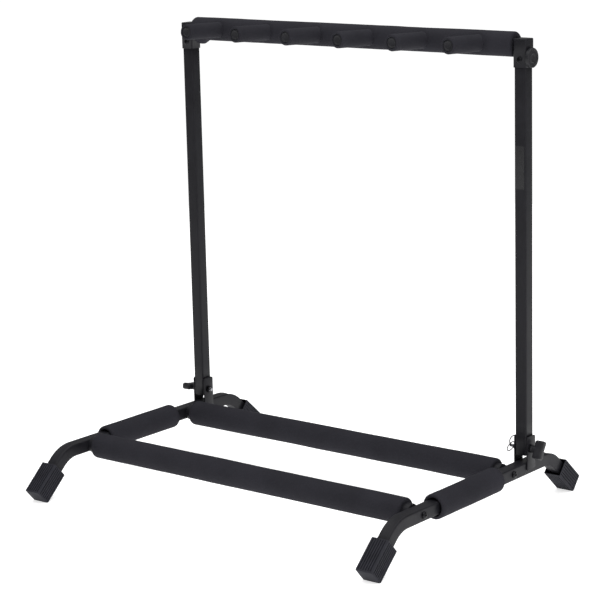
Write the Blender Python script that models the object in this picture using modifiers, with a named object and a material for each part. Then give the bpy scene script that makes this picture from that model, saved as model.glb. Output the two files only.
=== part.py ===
"""Folding rack for five guitars: a square-tube base on rubber feet, a hinged upright and a padded yoke."""
import math

import bmesh
import bpy
from mathutils import Matrix, Vector

# Driving dimensions, in metres. +X runs along the rails, -Y is the side that the guitars face, +Z is up.
GAP = 0.0003                # clearance between pieces that touch
MERGE = 0.00001             # distance at which a Screw closes its seam
TUBE = 0.019                # square tube of the legs and posts
TUBE_WALL = 0.0012
TUBE_CORNER = 0.0022        # outside corner radius of the square tube
LEG_X = 0.311               # centre plane of each leg and post
LEG_Z = 0.0645              # height of the leg's centre line
BEND_Y = 0.192              # where the straight and the sloping centre lines of a leg cross
BEND_ANGLE = math.radians(42)
BEND_RADIUS = 0.050
TUBE_END_GAP = 0.0005       # from a sloping tube's end to the rubber that it stands on
FOOT_WIDTH = 0.028
FOOT_THICK = 0.0285
FOOT_LENGTH = 0.0525
FOOT_FLOOR = 0.004          # rubber under the tube's end
FOOT_FLAT = 0.002           # how deep the floor flat is cut into the lowest edge
RAIL_FRONT_Y = -0.137
RAIL_REAR_Y = 0.088
RAIL_TUBE_D = 0.025
RAIL_FOAM_D = 0.038
RAIL_FOAM_END = 0.2905
SIDE_FOAM_D = 0.037
SIDE_FOAM_HOLE = 0.0262
SIDE_FOAM_FRONT = -0.1015
SIDE_FOAM_REAR = 0.0525
BOLT_D = 0.006
BOLT_HEAD_D = 0.0105
BOLT_HEAD_H = 0.0032
BOLT_L = 0.031              # under the head: through the leg and into the rail's end plate
BOLT_HOLE = 0.0066          # clearance hole for a bolt or a stud
SCREW_D = 0.004
SCREW_HOLE = 0.0046
POST_Y = 0.130
POST_BOTTOM = 0.0842
POST_TOP = 0.6882
PIVOT_Z = 0.0935
CHEEK_T = 0.002
CHEEK_FRONT = 0.00925       # how far a cheek reaches before and behind the pivot
CHEEK_REAR = 0.0118
CHEEK_BOTTOM = 0.0632
CHEEK_TOP = 0.1125
WASHER_D = 0.013
WASHER_T = 0.0012
KNOB_HUB_D = 0.0125
KNOB_HUB_L = 0.0055
KNOB_BAR = (0.0145, 0.0105, 0.0275)    # out from the hub, thick, long
KNOB_ROUND = 0.003
KNOB_BLIND = 0.008          # how deep the stud's hole goes into the bar
LEFT_KNOB_TURN = math.radians(-80)      # how far each bar leans from upright
RIGHT_KNOB_TURN = math.radians(-26)
LEFT_STUD_END = 0.2917      # inner ends of the pivot studs
RIGHT_STUD_END = 0.2872
STUD_NECK = 0.0048          # the stud beyond the nut is turned down
NUT_T = 0.004
NUT_CORNERS = 0.0115
SOCKET = 0.0216
SOCKET_BOTTOM = 0.6492
SOCKET_TOP = 0.6900
SOCKET_SCREW_Z = 0.6600
YOKE_Z = 0.6810
YOKE_TUBE_D = 0.022
YOKE_FOAM_D = 0.0356
YOKE_FOAM_END = 0.2985
PRONG_PITCH = 0.0970
PRONG_TUBE_D = 0.0160
PRONG_FOAM_D = 0.0245
PRONG_REACH = 0.0885        # from the yoke's axis to the foam's front end
PRONG_TILT = math.radians(2)
YOKE_KNOB_D = 0.0286
YOKE_KNOB_T = 0.0055
YOKE_KNOB_Z = 0.6630
RING_WIRE = 0.0014
RING_HOLE = 0.0028
RING_POINTS = 26
# Each keeper ring's radius, the X of its hole, its normal, and the way from the hole to its centre
RING_LARGE = (0.0082, 0.2895, (0.90, -0.42, -0.12), (0.30, 0.41, 0.86))
RING_SMALL = (0.0078, 0.2932, (0.46, 0.63, -0.62), (-0.89, 0.32, -0.34))

STEEL = (0.022, 0.022, 0.024, 1.0)
FOAM = (0.028, 0.028, 0.031, 1.0)
RUBBER = (0.040, 0.038, 0.042, 1.0)
PLASTIC = (0.016, 0.016, 0.017, 1.0)
ZINC = (0.50, 0.50, 0.52, 1.0)
BLACKENED = (0.05, 0.05, 0.052, 1.0)

for old in list(bpy.data.objects):
    bpy.data.objects.remove(old, do_unlink=True)

PARTS = bpy.data.collections.new("guitar_rack")
CUTTERS = bpy.data.collections.new("cutters")
bpy.context.scene.collection.children.link(PARTS)
bpy.context.scene.collection.children.link(CUTTERS)


def material(name, colour, roughness, metallic):
    mat = bpy.data.materials.new(name)
    mat.use_nodes = True
    shader = mat.node_tree.nodes["Principled BSDF"]
    shader.inputs["Base Color"].default_value = colour
    shader.inputs["Roughness"].default_value = roughness
    shader.inputs["Metallic"].default_value = metallic
    return mat


def finish(name, bm, look, smooth=35, collection=None):
    """Turn a bmesh into a named object in the parts collection, with its own material."""
    mesh = bpy.data.meshes.new(name)
    bmesh.ops.recalc_face_normals(bm, faces=bm.faces)
    bm.to_mesh(mesh)
    bm.free()
    mesh.shade_smooth()
    mesh.set_sharp_from_angle(angle=math.radians(smooth))
    obj = bpy.data.objects.new(name, mesh)
    if look is not None:
        mesh.materials.append(material(name + "_finish", *look))
    (collection or PARTS).objects.link(obj)
    return obj


LOOK_STEEL = (STEEL, 0.42, 0.3)
LOOK_FOAM = (FOAM, 0.9, 0.0)
LOOK_RUBBER = (RUBBER, 0.8, 0.0)
LOOK_PLASTIC = (PLASTIC, 0.5, 0.0)
LOOK_ZINC = (ZINC, 0.3, 1.0)
LOOK_BOLT = (BLACKENED, 0.4, 0.8)


def axis_matrix(centre, direction):
    """A frame at centre whose +Z runs along direction."""
    turn = Vector(direction).to_track_quat("Z", "Y").to_matrix().to_4x4()
    return Matrix.Translation(centre) @ turn


def cylinder(bm, start, end, diameter, segments, end_diameter=None):
    """A closed cylinder or cone from start to end."""
    a = Vector(start)
    b = Vector(end)
    bmesh.ops.create_cone(bm, cap_ends=True, segments=segments, radius1=diameter / 2,
                          radius2=(end_diameter or diameter) / 2, depth=(b - a).length,
                          matrix=axis_matrix((a + b) / 2, b - a))


def box(bm, low, high):
    """A closed box between two corners."""
    size = [high[i] - low[i] for i in range(3)]
    mid = [(high[i] + low[i]) / 2 for i in range(3)]
    return bmesh.ops.create_cube(bm, size=1.0, matrix=Matrix.Translation(mid) @ Matrix.Diagonal((*size, 1.0)))


def cutter(name, bm):
    obj = finish(name, bm, None, collection=CUTTERS)
    obj.hide_render = True
    obj.display_type = "WIRE"
    return obj


def cut(obj, tool):
    mod = obj.modifiers.new("cut_" + tool.name, "BOOLEAN")
    mod.operation = "DIFFERENCE"
    mod.solver = "EXACT"
    mod.object = tool


def drill(name, start, end, diameter, segments=12):
    bm = bmesh.new()
    cylinder(bm, start, end, diameter, segments)
    return cutter(name, bm)


def cross_drill(name, x, z):
    """A clearance hole along X through a post or a plate at x."""
    return drill(name, (x - TUBE, POST_Y, z), (x + TUBE, POST_Y, z), BOLT_HOLE)


def screw_drill(name, x):
    """A hole from the front for a socket's screw."""
    return drill(name, (x, POST_Y - TUBE, SOCKET_SCREW_Z), (x, POST_Y, SOCKET_SCREW_Z), SCREW_HOLE)


def bevel(obj, width, segments=2, angle=40):
    mod = obj.modifiers.new("edges", "BEVEL")
    mod.width = width
    mod.segments = segments
    mod.limit_method = "ANGLE"
    mod.angle_limit = math.radians(angle)


def wall(obj, thickness):
    mod = obj.modifiers.new("wall", "SOLIDIFY")
    mod.thickness = thickness
    mod.offset = -1.0
    mod.use_even_offset = True


def square_ring(bm, size, corner, centre, u, v, steps=2):
    """A rounded square loop of edges in the plane of u and v."""
    verts = []
    for quarter in range(4):
        base = quarter * math.pi / 2
        mid = base + math.pi / 4
        reach = (size / 2 - corner) * math.sqrt(2)
        for i in range(steps + 1):
            a = base + i * math.pi / 2 / steps
            x = reach * math.cos(mid) + corner * math.cos(a)
            y = reach * math.sin(mid) + corner * math.sin(a)
            verts.append(bm.verts.new(Vector(centre) + x * Vector(u) + y * Vector(v)))
    edges = [bm.edges.new((verts[i], verts[(i + 1) % len(verts)])) for i in range(len(verts))]
    return verts, edges


def extend(bm, edges, offset):
    """Extrude a loop of edges in a straight line and return the new loop."""
    result = bmesh.ops.extrude_edge_only(bm, edges=edges)["geom"]
    bmesh.ops.translate(bm, vec=offset, verts=[g for g in result if isinstance(g, bmesh.types.BMVert)])
    return [g for g in result if isinstance(g, bmesh.types.BMEdge)]


def bend(bm, edges, centre, angle, steps):
    """Carry a loop of edges round a bend about an axis along X."""
    verts = list({v for e in edges for v in e.verts})
    result = bmesh.ops.spin(bm, geom=verts + edges, cent=centre, axis=(1, 0, 0), angle=angle,
                            steps=steps, use_duplicate=False)["geom_last"]
    return [g for g in result if isinstance(g, bmesh.types.BMEdge)]


def foot_frame(end):
    """Centre of a foot's end face, and the unit vector that runs up the sloping tube from it."""
    down = LEG_Z - FOOT_THICK / 2 * math.cos(BEND_ANGLE) + FOOT_FLAT
    slope = down / math.sin(BEND_ANGLE)
    y = BEND_Y + slope * math.cos(BEND_ANGLE)
    up = Vector((0, -end * math.cos(BEND_ANGLE), math.sin(BEND_ANGLE)))
    return Vector((0, end * y, LEG_Z - down)), up


def leg_tube(name, side):
    x = side * LEG_X
    tangent = BEND_RADIUS * math.tan(BEND_ANGLE / 2)
    start = BEND_Y - tangent
    tip, _ = foot_frame(1)
    slope = (Vector((0, BEND_Y, LEG_Z)) - tip).length - tangent - FOOT_FLOOR - TUBE_END_GAP
    bm = bmesh.new()
    _, ring = square_ring(bm, TUBE, TUBE_CORNER, (x, 0, LEG_Z), (1, 0, 0), (0, 0, 1))
    for end in (1, -1):
        edges = extend(bm, ring, (0, end * start, 0))
        edges = bend(bm, edges, (x, end * start, LEG_Z - BEND_RADIUS), -end * BEND_ANGLE, 6)
        extend(bm, edges, Vector((0, end * math.cos(BEND_ANGLE), -math.sin(BEND_ANGLE))) * slope)
    obj = finish(name, bm, LOOK_STEEL, 25)
    wall(obj, TUBE_WALL)
    for tag, y in (("front", RAIL_FRONT_Y), ("rear", RAIL_REAR_Y)):
        cut(obj, drill(name + "_" + tag + "_hole", (x - TUBE, y, LEG_Z), (x + TUBE, y, LEG_Z), BOLT_HOLE))
    return obj


def foot(name, side, end):
    tip, up = foot_frame(end)
    tip.x = side * LEG_X
    frame = axis_matrix(tip, up)
    bm = bmesh.new()
    box(bm, (-FOOT_WIDTH / 2, -FOOT_THICK / 2, 0), (FOOT_WIDTH / 2, FOOT_THICK / 2, FOOT_LENGTH))
    bmesh.ops.bevel(bm, geom=list(bm.edges), offset=0.0015, segments=2, profile=0.5, affect="EDGES",
                    material=-1)
    bmesh.ops.transform(bm, matrix=frame, verts=bm.verts)
    obj = finish(name, bm, LOOK_RUBBER)
    hole = bmesh.new()
    square = TUBE + 2 * GAP
    verts, ring = square_ring(hole, square, TUBE_CORNER + GAP, (0, 0, FOOT_FLOOR), (1, 0, 0), (0, 1, 0))
    top = extend(hole, ring, (0, 0, FOOT_LENGTH))
    hole.faces.new(verts)
    bmesh.ops.contextual_create(hole, geom=top)
    bmesh.ops.transform(hole, matrix=frame, verts=hole.verts)
    cut(obj, cutter(name + "_socket", hole))
    ground = bmesh.new()
    box(ground, (tip.x - 0.04, tip.y - 0.05, -0.03), (tip.x + 0.04, tip.y + 0.05, 0.0))
    cut(obj, cutter(name + "_ground", ground))
    return obj


def spun(name, profile, closed, start, direction, look, segments):
    """Turn a profile of (radius, height) about an axis from start along direction with a Screw modifier."""
    bm = bmesh.new()
    verts = [bm.verts.new((x, 0, z)) for x, z in profile]
    for pair in zip(verts, verts[1:]):
        bm.edges.new(pair)
    if closed:
        bm.edges.new((verts[-1], verts[0]))
    obj = finish(name, bm, look)
    obj.matrix_world = axis_matrix(start, direction)
    mod = obj.modifiers.new("turn", "SCREW")
    mod.axis = "Z"
    mod.steps = segments
    mod.render_steps = segments
    mod.use_merge_vertices = True
    mod.merge_threshold = MERGE
    return obj


def sleeve(name, start, end, outer, inner, look, segments=24, round_over=0.0):
    """A turned tube between two points; round_over chamfers its outer ends."""
    a = Vector(start)
    b = Vector(end)
    length = (b - a).length
    r = round_over
    profile = [(inner / 2, length), (outer / 2 - r, length), (outer / 2, length - r), (outer / 2, r),
               (outer / 2 - r, 0), (inner / 2, 0)]
    if r == 0:
        profile = [(inner / 2, length), (outer / 2, length), (outer / 2, 0), (inner / 2, 0)]
    return spun(name, profile, True, a, b - a, look, segments)


def rail(tag, y):
    """A rail: a round tube whose welded end plates take the leg bolts, and its foam."""
    end = LEG_X - TUBE / 2 - GAP
    bolt_way(tag + "_rail_tube", end, y, LEG_Z, RAIL_TUBE_D)
    sleeve(tag + "_rail_foam", (-RAIL_FOAM_END, y, LEG_Z), (RAIL_FOAM_END, y, LEG_Z), RAIL_FOAM_D,
           RAIL_TUBE_D + 2 * GAP, LOOK_FOAM, 24, 0.003)
    for name, side in (("left", -1), ("right", 1)):
        spun(tag + "_rail_bolt_" + name, bolt_profile(BOLT_L), False,
             (side * (LEG_X + TUBE / 2 + GAP), y, LEG_Z), (side, 0, 0), LOOK_BOLT, 14)


def bolt_way(name, end, y, z, diameter):
    """A turned tube along X with an end plate at each end, drilled for a bolt."""
    r = diameter / 2
    bore = r - 0.0015
    way = BOLT_D / 2 + GAP
    plate = 0.004
    profile = [(way, 2 * end), (r, 2 * end), (r, 0), (way, 0), (way, plate), (bore, plate),
               (bore, 2 * end - plate), (way, 2 * end - plate)]
    return spun(name, profile, True, (-end, y, z), (1, 0, 0), LOOK_STEEL, 16)


def bolt_profile(length):
    """A button head with a round key recess; the head's underside is at height 0."""
    r = BOLT_HEAD_D / 2
    h = BOLT_HEAD_H
    recess = 0.0018
    shank = BOLT_D / 2
    return [(0, h - 0.0014), (recess, h - 0.0014), (recess, h), (r * 0.55, h), (r * 0.86, h * 0.72),
            (r, h * 0.25), (r, 0), (shank, 0), (shank, -length + 0.001), (shank - 0.001, -length),
            (0, -length)]


def side_foam(name, side):
    x = side * LEG_X
    sleeve(name, (x, SIDE_FOAM_FRONT, LEG_Z), (x, SIDE_FOAM_REAR, LEG_Z), SIDE_FOAM_D, SIDE_FOAM_HOLE,
           LOOK_FOAM, 24, 0.002)


def cheek(name, side, outer):
    """One of the two plates that hold a post's foot: welded to the leg, standing up past the pivot."""
    face = side * (LEG_X + outer * (TUBE / 2 + GAP))
    back = face + side * outer * CHEEK_T
    bm = bmesh.new()
    box(bm, (min(face, back), POST_Y - CHEEK_FRONT, CHEEK_BOTTOM),
        (max(face, back), POST_Y + CHEEK_REAR, CHEEK_TOP))
    corners = [e for e in bm.edges if abs(e.verts[0].co.x - e.verts[1].co.x) > 0.5 * CHEEK_T]
    bmesh.ops.bevel(bm, geom=corners, offset=0.002, segments=3, profile=0.5, affect="EDGES", material=-1)
    obj = finish(name, bm, LOOK_STEEL)
    cut(obj, cross_drill(name + "_hole", face, PIVOT_Z))


def post(name, side):
    x = side * LEG_X
    bm = bmesh.new()
    _, ring = square_ring(bm, TUBE, TUBE_CORNER, (x, POST_Y, POST_BOTTOM), (1, 0, 0), (0, 1, 0))
    extend(bm, ring, (0, 0, POST_TOP - POST_BOTTOM))
    obj = finish(name, bm, LOOK_STEEL, 25)
    wall(obj, TUBE_WALL)
    cut(obj, cross_drill(name + "_pivot", x, PIVOT_Z))
    cut(obj, screw_drill(name + "_screw", x))
    cut(obj, cross_drill(name + "_knob", x, YOKE_KNOB_Z))
    return obj


def clamp_knob(name, side, base, turn):
    """A T-shaped knob: a hub and a rounded bar, with its origin on the stud's axis."""
    start = KNOB_HUB_L
    bm = bmesh.new()
    reach, thick, long = KNOB_BAR
    box(bm, (-thick / 2, -long / 2, start), (thick / 2, long / 2, start + reach))
    bmesh.ops.bevel(bm, geom=list(bm.edges), offset=KNOB_ROUND, segments=3, profile=0.5, affect="EDGES",
                    material=-1)
    bmesh.ops.transform(bm, matrix=Matrix.Rotation(turn, 4, "Z"), verts=bm.verts)
    knob = finish(name, bm, LOOK_PLASTIC)
    knob.matrix_world = axis_matrix((side * base, POST_Y, PIVOT_Z), (side, 0, 0))
    blind = base + start + KNOB_BLIND
    hub_end = blind - KNOB_BLIND / 2
    tool = bmesh.new()
    cylinder(tool, (side * base, POST_Y, PIVOT_Z), (side * hub_end, POST_Y, PIVOT_Z), KNOB_HUB_D, 24)
    join(knob, cutter(name + "_hub", tool))
    cut(knob, drill(name + "_hole", (side * (base - start), POST_Y, PIVOT_Z), (side * blind, POST_Y, PIVOT_Z),
                    BOLT_HOLE))
    return blind - GAP


def clamp(tag, side, turn, stud_end):
    """The pivot stud, its T-shaped clamp knob, the washer under the knob and the nut on the inner cheek."""
    outer = LEG_X + TUBE / 2 + GAP + CHEEK_T
    inner = LEG_X - TUBE / 2 - GAP - CHEEK_T
    washer_end = outer + GAP + WASHER_T
    washer_start = outer + GAP
    sleeve(tag + "_clamp_washer", (side * washer_start, POST_Y, PIVOT_Z),
           (side * washer_end, POST_Y, PIVOT_Z), WASHER_D, BOLT_HOLE, LOOK_BOLT, 18)
    knob_end = clamp_knob(tag + "_clamp_knob", side, washer_end + GAP, turn)
    nut_face = inner - GAP
    shoulder = nut_face - NUT_T - knob_end
    tip = stud_end - knob_end
    profile = [(0, 0), (BOLT_D / 2, 0), (BOLT_D / 2, shoulder), (STUD_NECK / 2, shoulder),
               (STUD_NECK / 2, tip), (0, tip)]
    stud = spun(tag + "_pivot_stud", profile, False, (side * knob_end, POST_Y, PIVOT_Z), (side, 0, 0),
                LOOK_ZINC, 20)
    bm = bmesh.new()
    cylinder(bm, (side * nut_face, POST_Y, PIVOT_Z), (side * (nut_face - NUT_T), POST_Y, PIVOT_Z),
             NUT_CORNERS, 6)
    nut = finish(tag + "_pivot_nut", bm, LOOK_BOLT)
    bevel(nut, 0.0006, 1)
    cut(nut, cross_drill(tag + "_nut_hole", side * nut_face, PIVOT_Z))
    return stud


def join(obj, tool):
    mod = obj.modifiers.new("join_" + tool.name, "BOOLEAN")
    mod.operation = "UNION"
    mod.solver = "EXACT"
    mod.object = tool


def socket(name, side):
    """The cap that slips over a post's top and carries the yoke rail."""
    x = side * LEG_X
    bm = bmesh.new()
    r = SOCKET / 2
    box(bm, (x - r, POST_Y - r, SOCKET_BOTTOM), (x + r, POST_Y + r, SOCKET_TOP))
    bmesh.ops.bevel(bm, geom=list(bm.edges), offset=0.0012, segments=2, profile=0.5, affect="EDGES",
                    material=-1)
    obj = finish(name, bm, LOOK_STEEL)
    hole = bmesh.new()
    mouth = SOCKET_BOTTOM - TUBE / 2
    verts, ring = square_ring(hole, TUBE + 2 * GAP, TUBE_CORNER + GAP, (x, POST_Y, mouth), (1, 0, 0),
                              (0, 1, 0))
    top = extend(hole, ring, (0, 0, POST_TOP + GAP - mouth))
    hole.faces.new(verts)
    bmesh.ops.contextual_create(hole, geom=top)
    cut(obj, cutter(name + "_bore", hole))
    cut(obj, screw_drill(name + "_screw", x))
    cut(obj, cross_drill(name + "_knob", x, YOKE_KNOB_Z))
    return obj


def socket_screw(name, side):
    """A pan-head screw through the front of a socket into the post."""
    profile = [(0, 0.0016), (0.0022, 0.0015), (0.0036, 0.0009), (0.0042, 0), (0.002, 0),
               (0.002, -0.0065), (0, -0.0065)]
    front = POST_Y - SOCKET / 2 - GAP
    return spun(name, profile, False, (side * LEG_X, front, SOCKET_SCREW_Z), (0, -1, 0), LOOK_BOLT, 16)


def yoke_knob():
    """The round knurled knob on the right socket's outer face, and its stud into the post."""
    face = LEG_X + SOCKET / 2 + GAP
    r = YOKE_KNOB_D / 2
    t = YOKE_KNOB_T
    way = BOLT_D / 2 + GAP
    profile = [(0, t), (r - 0.0012, t), (r, t - 0.0012), (r, 0.001), (r - 0.001, 0), (way, 0),
               (way, t - 0.0015), (0, t - 0.0015)]
    spun("yoke_knob", profile, False, (face, POST_Y, YOKE_KNOB_Z), (1, 0, 0), LOOK_PLASTIC, 24)
    bm = bmesh.new()
    cylinder(bm, (face + t - 0.0018, POST_Y, YOKE_KNOB_Z), (LEG_X + 0.002, POST_Y, YOKE_KNOB_Z), BOLT_D, 20)
    return finish("yoke_knob_stud", bm, LOOK_ZINC)


def keeper_ring(name, shape, stud):
    """A closed wire ring through a cross hole in a stud's inner end, with its origin at the hole."""
    radius, hole_x, normal, towards_centre = shape
    hole = Vector((hole_x, POST_Y, PIVOT_Z))
    out = Vector(towards_centre).normalized()
    n = Vector(normal).normalized()
    n = (n - n.dot(out) * out).normalized()
    along = n.cross(out)
    curve = bpy.data.curves.new(name, "CURVE")
    curve.dimensions = "3D"
    curve.bevel_depth = RING_WIRE / 2
    curve.bevel_resolution = 1
    line = curve.splines.new("POLY")
    line.points.add(RING_POINTS - 1)
    for i, point in enumerate(line.points):
        a = math.tau * i / RING_POINTS
        point.co = (*(radius * (out - math.cos(a) * out + math.sin(a) * along)), 1.0)
    line.use_cyclic_u = True
    obj = bpy.data.objects.new(name, curve)
    obj.location = hole
    obj.data.materials.append(material(name + "_finish", *LOOK_ZINC))
    PARTS.objects.link(obj)
    cut(stud, drill(name + "_hole", hole - along * BOLT_D, hole + along * BOLT_D, RING_HOLE))


def prong_frame(index):
    """Where a prong leaves the yoke's axis, and the unit vector along it."""
    x = (index - 3.5) * PRONG_PITCH
    return Vector((x, POST_Y, YOKE_Z)), Vector((0, -math.cos(PRONG_TILT), math.sin(PRONG_TILT)))


def yoke():
    end = LEG_X - SOCKET / 2 - GAP
    sleeve("yoke_rail_tube", (-end, POST_Y, YOKE_Z), (end, POST_Y, YOKE_Z), YOKE_TUBE_D,
           YOKE_TUBE_D - 0.003, LOOK_STEEL, 20)
    foam = sleeve("yoke_rail_foam", (-YOKE_FOAM_END, POST_Y, YOKE_Z), (YOKE_FOAM_END, POST_Y, YOKE_Z),
                  YOKE_FOAM_D, YOKE_TUBE_D + 2 * GAP, LOOK_FOAM, 24, 0.003)
    holes = bmesh.new()
    for i in range(1, 7):
        root, along = prong_frame(i)
        cylinder(holes, root + along * 0.005, root + along * 0.03, PRONG_TUBE_D + 2 * GAP, 14)
    cut(foam, cutter("prong_holes", holes))
    for i in range(1, 7):
        prong(i)


def prong(i):
    root, along = prong_frame(i)
    tag = "prong_" + str(i)
    tip = root + along * PRONG_REACH
    end = tip - along * 0.0025
    tube = sleeve(tag + "_tube", root + along * 0.002, end, PRONG_TUBE_D, PRONG_TUBE_D - 0.0024, LOOK_STEEL,
                  14)
    core = bmesh.new()
    cylinder(core, root - Vector((0.02, 0, 0)), root + Vector((0.02, 0, 0)), YOKE_TUBE_D + 2 * GAP, 32)
    cut(tube, cutter(tag + "_cope", core))
    foam = sleeve(tag + "_foam", root + along * 0.008, tip, PRONG_FOAM_D, PRONG_TUBE_D + 2 * GAP, LOOK_FOAM,
                  18, 0.002)
    skin = bmesh.new()
    cylinder(skin, root - Vector((0.03, 0, 0)), root + Vector((0.03, 0, 0)), YOKE_FOAM_D + 2 * GAP, 36)
    cut(foam, cutter(tag + "_seat", skin))
    cap(tag + "_cap", end, along)


def cap(name, end, along):
    """A push-in end cap: a slightly domed disc with a shank inside the tube."""
    r = PRONG_TUBE_D / 2
    s = PRONG_TUBE_D / 2 - 0.0012 - GAP
    profile = [(0, 0.0017), (r * 0.6, 0.0015), (r * 0.92, 0.0010), (r, GAP + 0.0001), (r, GAP), (s, GAP),
               (s, -0.008), (0, -0.008)]
    return spun(name, profile, False, end, along, LOOK_PLASTIC, 14)


def hang(names):
    """Parent the upright's pieces to an empty on the fold axis."""
    axis = bpy.data.objects.new("upright_axis", None)
    axis.location = (0, POST_Y, PIVOT_Z)
    PARTS.objects.link(axis)
    for name in names:
        obj = bpy.data.objects[name]
        obj.parent = axis
        obj.matrix_parent_inverse = Matrix.Translation(axis.location).inverted()


UPRIGHT = ["yoke_rail_tube", "yoke_rail_foam", "yoke_knob", "yoke_knob_stud"]
UPRIGHT += ["prong_" + str(i) + kind for i in range(1, 7) for kind in ("_tube", "_foam", "_cap")]
for kind in ("_post", "_yoke_socket", "_socket_screw"):
    UPRIGHT += ["left" + kind, "right" + kind]

for side_name, side in (("left", -1), ("right", 1)):
    leg_tube(side_name + "_leg_tube", side)
    foot("front_" + side_name + "_foot", side, -1)
    foot("rear_" + side_name + "_foot", side, 1)
    side_foam(side_name + "_side_foam", side)
    cheek(side_name + "_outer_cheek", side, 1)
    cheek(side_name + "_inner_cheek", side, -1)
    post(side_name + "_post", side)
    socket(side_name + "_yoke_socket", side)
    socket_screw(side_name + "_socket_screw", side)
rail("front", RAIL_FRONT_Y)
rail("rear", RAIL_REAR_Y)
clamp("left", -1, LEFT_KNOB_TURN, LEFT_STUD_END)
right_stud = clamp("right", 1, RIGHT_KNOB_TURN, RIGHT_STUD_END)
keeper_ring("keeper_ring_large", RING_LARGE, right_stud)
keeper_ring("keeper_ring_small", RING_SMALL, right_stud)
yoke()
yoke_knob()
hang(UPRIGHT)
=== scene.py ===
"""Looks of a folding guitar rack: bent legs in ribbed boots, foam-covered rails and a padded yoke."""
import math

import bmesh
import bpy
from bpy.props import FloatProperty, FloatVectorProperty, IntProperty, PointerProperty
from mathutils import Matrix, Vector, noise


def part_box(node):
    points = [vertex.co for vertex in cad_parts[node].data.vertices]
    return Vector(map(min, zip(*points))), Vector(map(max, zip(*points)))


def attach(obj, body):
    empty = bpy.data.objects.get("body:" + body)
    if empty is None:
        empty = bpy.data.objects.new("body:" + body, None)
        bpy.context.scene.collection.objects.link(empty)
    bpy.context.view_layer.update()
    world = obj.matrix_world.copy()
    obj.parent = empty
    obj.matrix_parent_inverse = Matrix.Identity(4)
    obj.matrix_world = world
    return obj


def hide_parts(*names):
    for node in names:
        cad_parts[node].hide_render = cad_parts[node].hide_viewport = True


bl_info = {
    "name": "Guitar rack",
    "version": (1, 0, 0),
    "blender": (4, 5, 0),
    "location": "3D View > Sidebar > Rack",
    "description": "Builds the visible pieces of a folding guitar rack round its packed frame",
    "category": "Add Mesh",
}

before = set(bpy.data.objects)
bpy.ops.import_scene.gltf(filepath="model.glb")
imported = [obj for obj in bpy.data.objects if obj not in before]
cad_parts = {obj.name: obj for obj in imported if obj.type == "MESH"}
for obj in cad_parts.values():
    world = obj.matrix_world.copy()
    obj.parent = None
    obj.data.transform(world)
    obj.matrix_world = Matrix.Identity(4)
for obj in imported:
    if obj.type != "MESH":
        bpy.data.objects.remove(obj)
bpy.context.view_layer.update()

SIDES = (("left", -1), ("right", 1))
ENDS = (("front", -1), ("rear", 1))
PRONGS = range(1, 7)


def middle(name):
    """Centre of a CAD node's box."""
    low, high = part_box(name)
    return (low + high) / 2


def across(name):
    """Size of a CAD node's box."""
    low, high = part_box(name)
    return high - low


TUBE = across("right_post").x
LEG_X = middle("right_post").x
LEG_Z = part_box("right_leg_tube")[1].z - TUBE / 2
POST = middle("right_post")
PIVOT = middle("right_clamp_washer")
YOKE = middle("yoke_rail_tube")
SOCKET_LOW, SOCKET_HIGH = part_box("right_yoke_socket")

BEND_Y = 0.192
BEND_ANGLE = math.radians(42)
BEND_RADIUS = 0.050
BEND_START = BEND_Y - BEND_RADIUS * math.tan(BEND_ANGLE / 2)
FOOT_SIZE = Vector((0.028, 0.0285, 0.0525))
FOOT_FLOOR = 0.004
FOOT_FLAT = 0.002
PRONG_TILT = math.radians(2)
PRONG_REACH = 0.0885
PRONG_FOAM_R = 0.01225
PRONG_TUBE_R = 0.0080
YOKE_FOAM_R = across("yoke_rail_foam").y / 2
PRONG_X = [middle("prong_" + str(i) + "_cap").x for i in PRONGS]
LEFT_KNOB_TURN = math.radians(80)
RIGHT_KNOB_TURN = math.radians(-26)
LABEL_SIZE = (0.0142, 0.00012, 0.062)
LABEL_Z = 0.5075
RING_WIRE_R = 0.00078
RINGS = (
    ("keeper_ring_large", "large_ring", 0.0082, 0.2895, (0.90, -0.42, -0.12), (0.30, 0.41, 0.86)),
    ("keeper_ring_small", "small_ring", 0.0078, 0.2932, (0.46, 0.63, -0.62), (-0.89, 0.32, -0.34)),
)

WELD = 0.000001
CLOSE = 0.00002


# Sizes and colours that a user may change

def colour(name, description, default):
    return FloatVectorProperty(name=name, description=description, subtype="COLOR", size=3, min=0, max=1,
                               default=default)


def length(name, description, default, top=0.02):
    return FloatProperty(name=name, description=description, unit="LENGTH", default=default, min=0, max=top,
                         precision=5)


class FoamSettings(bpy.types.PropertyGroup):
    colour: colour("Foam colour", "Colour of the foam sleeves", (0.0235, 0.0230, 0.0288))
    end_round: length("End rounding", "Radius of the sleeves' cut ends", 0.0034)
    lumps: length("Lumps", "How far the foam's skin wanders", 0.00045, 0.003)
    station: length("Mesh station", "Distance between rings of the foam's mesh", 0.006)
    steps: IntProperty(name="Mesh steps", description="Faces round a sleeve", default=64, min=16, max=96)


class SteelSettings(bpy.types.PropertyGroup):
    colour: colour("Powder coat colour", "Colour of the powder-coated steel", (0.0120, 0.0118, 0.0146))
    corner: length("Tube corner", "Outside corner radius of the square tube", 0.0022)
    wall: length("Tube wall", "Wall thickness of the square tube", 0.0012)


class FootSettings(bpy.types.PropertyGroup):
    colour: colour("Rubber colour", "Colour of the rubber boots", (0.0200, 0.0202, 0.0262))
    ribs: IntProperty(name="Ribs", description="Ribs on the wide faces of a boot", default=6, min=2, max=10)
    depth: length("Groove depth", "Depth of the grooves between ribs", 0.0015, 0.003)


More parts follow.
